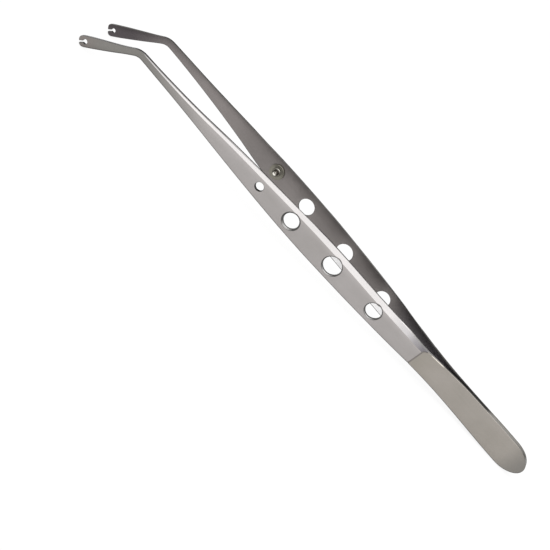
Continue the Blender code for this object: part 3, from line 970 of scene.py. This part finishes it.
# ----------------------------------------------------------------------- arms
for label, side, upper_edge in (("front", FRONT, upper_front), ("rear", REAR, upper_rear)):
    arm = plate(label + "_arm", side)
    for material in (heel_satin, blade_ground, bevel_painted_highlight, inner_grey, upper_edge, hole_wall,
                     step_line, lower_edge, hole_chamfer, guide_wall, inner_side_painted_shade):   # zone order
        arm.data.materials.append(material)
    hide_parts(label + "_arm_heel", label + "_arm_blade")
    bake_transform(arm)


# ------------------------------------------------------------------ guide pin
POLISH_PAINTED_HIGHLIGHT, COLLAR, SHANK, HUB = range(4)         # material slots of the pin


def quarter(count):
    """Angles that divide a quarter turn, its start left out."""
    return [math.pi / 2 * k / count for k in range(1, count + 1)]


def pin_profile():
    """(radius, height) from the domed tip to the set head; height 0 is the rear inner face."""
    reach = 2.22
    dome_r, dome_h = 0.88, 0.62
    root_top, root_r = 1.02, 0.14               # fillet from the shank onto the hub
    hub_r, hub_base, hub_round = 1.10, 0.635, 0.24
    flange_r, flange_base, flange_round = 2.24, 0.29, 0.21
    head_r, head_h = 1.60, 0.30
    head_top = -THICK - 0.012                   # just clear of the outer face
    profile = [(0.0, reach)]
    profile += [(dome_r * math.sin(angle), reach - dome_h * (1 - math.cos(angle)))
                for angle in quarter(14)]
    profile += [(dome_r, reach - 0.74), (PIN_R, reach - 0.80), (PIN_R, root_top)]
    profile += [(PIN_R + root_r * (1 - math.cos(angle)), root_top - root_r * math.sin(angle))
                for angle in quarter(4)]
    profile.append((hub_r, hub_base + hub_round))
    profile += [(hub_r + hub_round * math.sin(angle), hub_base + hub_round * math.cos(angle))
                for angle in quarter(5)]
    profile += [(1.45, 0.60), (1.90, 0.54), (flange_r, flange_base + flange_round)]
    profile += [(flange_r + flange_round * math.sin(angle),
                 flange_base + flange_round * math.cos(angle)) for angle in quarter(5)]
    profile += [(2.45, 0.16), (2.42, 0.07), (2.34, 0.012), (PIN_R + 0.25, 0.012),
                (PIN_R, -0.05), (PIN_R, -0.95), (PIN_R + 0.12, -1.045),
                (1.52, head_top - 0.02), (head_r, head_top - 0.10)]
    profile += [(head_r * math.cos(angle) ** 0.8, head_top - 0.10 - head_h * math.sin(angle))
                for angle in quarter(7)[:-1]]
    profile.append((0.0, head_top - 0.10 - head_h))
    return profile


def pin_zone(start, end):
    """Slot of the band between two profile points."""
    radius, height = start
    if end[0] < 0.56 and height > 1.8:
        return POLISH_PAINTED_HIGHLIGHT
    if height > 0.88:
        return SHANK
    return HUB if 1.09 < radius < 1.35 and height > 0.6 else COLLAR


def lathe(name, profile, place, zone, segments=72, sharp_angle=35.0):
    """A turned solid from (radius, height) points; its ends lie on the axis."""
    verts, faces, zones, rows = [], [], [], []
    for radius, z in profile:
        count = segments if radius >= 1e-6 else 1
        rows.append(range(len(verts), len(verts) + count))
        if count == 1:
            verts.append((0.0, 0.0, z))
            continue
        for k in range(segments):
            angle = 2 * math.pi * k / segments
            verts.append((radius * math.cos(angle), radius * math.sin(angle), z))
    for n, (near, far) in enumerate(zip(rows, rows[1:])):
        for k in range(segments):
            j = (k + 1) % segments
            zones.append(zone(profile[n], profile[n + 1]))
            if len(near) == 1:
                faces.append((near[0], far[k], far[j]))
            elif len(far) == 1:
                faces.append((near[k], far[0], near[j]))
            else:
                faces.append((near[k], far[k], far[j], near[j]))
    mesh = bpy.data.meshes.new(name)
    mesh.from_pydata([tuple(np.array(point) * MM) for point in verts], [], faces)
    mesh.transform(place)
    mesh.polygons.foreach_set("material_index", np.array(zones, np.int32))
    mesh.shade_smooth()
    mesh.set_sharp_from_angle(angle=math.radians(sharp_angle))
    return add_object(name, mesh)


def pin_placing():
    """The pin stands square on the rear strip's inner face."""
    reach = 0.5
    rising = float(half_gap(PIN_SEAT + reach) - half_gap(PIN_SEAT - reach))
    slope = math.atan2(rising, 2 * reach)
    tipwards = np.array([-math.cos(slope), math.sin(slope), 0.0])
    inwards = np.array([-math.sin(slope), -math.cos(slope), 0.0])
    return placing((tipwards, np.cross(inwards, tipwards), inwards),
                   (-PIN_SEAT, float(half_gap(PIN_SEAT)), 0.0))


pin = lathe("guide_pin_turned", pin_profile(), pin_placing(), pin_zone)
for material in (pin_polish_painted_highlight, pin_collar, pin_shank, pin_hub):
    pin.data.materials.append(material)
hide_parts("guide_pin")
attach(pin, "rear_arm")

for name in ("spot_weld_1", "spot_weld_2"):
    weld = frame["nodes"][name]
    if not weld.material_slots:
        weld.data.materials.append(weld_burnt)
    for slot in weld.material_slots:
        slot.material = weld_burnt


# ---------------------------------------------------------------------- stage
def floor_white():
    """White floor: clear from below, its shadows faint to the camera."""
    material = bpy.data.materials.new("floor_white")
    graph = Graph(material)
    nodes = graph.tree.nodes
    matte = nodes["Principled BSDF"]
    for socket, value in {"Base Color": rgba(0.46), "Emission Color": rgba(1.0),
                          "Emission Strength": 0.52, "Roughness": 0.9,
                          "Specular IOR Level": 0.1}.items():
        matte.inputs[socket].default_value = value
    to_camera = graph.node("ShaderNodeLightPath").outputs["Is Camera Ray"]
    lifted = graph.node("ShaderNodeMixShader", {
        0: graph.math("MULTIPLY", to_camera, 0.75), 1: matte.outputs[0],
        2: graph.node("ShaderNodeEmission").outputs[0]})
    shown = graph.node("ShaderNodeMixShader", {
        0: graph.node("ShaderNodeNewGeometry").outputs["Backfacing"], 1: lifted.outputs[0],
        2: graph.node("ShaderNodeBsdfTransparent").outputs[0]})
    graph.tree.links.new(shown.outputs[0], nodes["Material Output"].inputs["Surface"])
    return material


def studio_world():
    """White to the camera; brighter light from -Y, darker from +Y, with a soft panel there."""
    world = bpy.data.worlds.new("studio")
    bpy.context.scene.world = world
    graph = Graph(world)
    graph.tree.nodes.clear()
    ways = graph.split(graph.node("ShaderNodeTexCoord").outputs["Generated"])
    ambient = graph.smoothstep(ways["Y"], -0.5, 0.75, low=1.15, high=0.22)
    # the panel stands at +X, +Y, off the horizon and short of the zenith
    panel = graph.math(
        "MULTIPLY",
        graph.math("MULTIPLY", graph.smoothstep(ways["X"], 0.0, 0.16),
                   graph.smoothstep(ways["Y"], 0.2, 0.5)),
        graph.math("MULTIPLY", graph.smoothstep(ways["Z"], 0.12, 0.30),
                   graph.smoothstep(ways["Z"], 0.90, 0.70)))
    strength = graph.math("ADD", ambient, graph.math("MULTIPLY", panel, 0.95))
    light = graph.node("ShaderNodeBackground", {"Color": (1.0, 0.995, 0.99, 1),
                                                "Strength": strength})
    backdrop = graph.node("ShaderNodeBackground", {"Color": rgba(1.0), "Strength": 1.0})
    shown = graph.node("ShaderNodeMixShader", {
        0: graph.node("ShaderNodeLightPath").outputs["Is Camera Ray"],
        1: light.outputs[0], 2: backdrop.outputs[0]})
    graph.node("ShaderNodeOutputWorld", {0: shown.outputs[0]})


bpy.ops.mesh.primitive_plane_add(size=6.0, location=(0, 0, -0.0002))
floor = bpy.context.active_object
floor.name = "floor"
floor.data.materials.append(floor_white())
studio_world()

# soft light from above, aimed at the frame's origin
top_light = bpy.data.lights.new("top_soft", "AREA")
top_light.shape = "RECTANGLE"
top_light.size = top_light.size_y = 1.2
top_light.energy = 7.0
lamp = add_object("top_soft", top_light)
lamp.location = (0.0, -0.1, 0.9)
lamp.rotation_euler = (-Vector((0.0, -0.1, 0.9))).to_track_quat("-Z", "Y").to_euler()

# --------------------------------------------------------------------- camera
# In own axes: the eye's place, its azimuth from +Y, its angle downwards and its roll
EYE = (-103.28, -290.42, 152.41)
AZIMUTH = math.radians(2.33)
DOWN = math.radians(30.67)
ROLL = math.radians(50.1)
LENS = 73.1454545

forward = np.array([math.sin(AZIMUTH) * math.cos(DOWN), math.cos(AZIMUTH) * math.cos(DOWN),
                    -math.sin(DOWN)])
level = np.array([math.cos(AZIMUTH), -math.sin(AZIMUTH), 0.0])
upright = np.cross(level, forward)
camera = bpy.data.cameras.new("camera")
camera.sensor_width = 36.0
camera.lens = LENS
camera.clip_start = 0.01
viewer = add_object("camera", camera)
viewer.matrix_world = placing((math.cos(ROLL) * level + math.sin(ROLL) * upright,
                               -math.sin(ROLL) * level + math.cos(ROLL) * upright, -forward), EYE)
bpy.context.scene.camera = viewer
bpy.context.scene.view_settings.view_transform = "Standard"
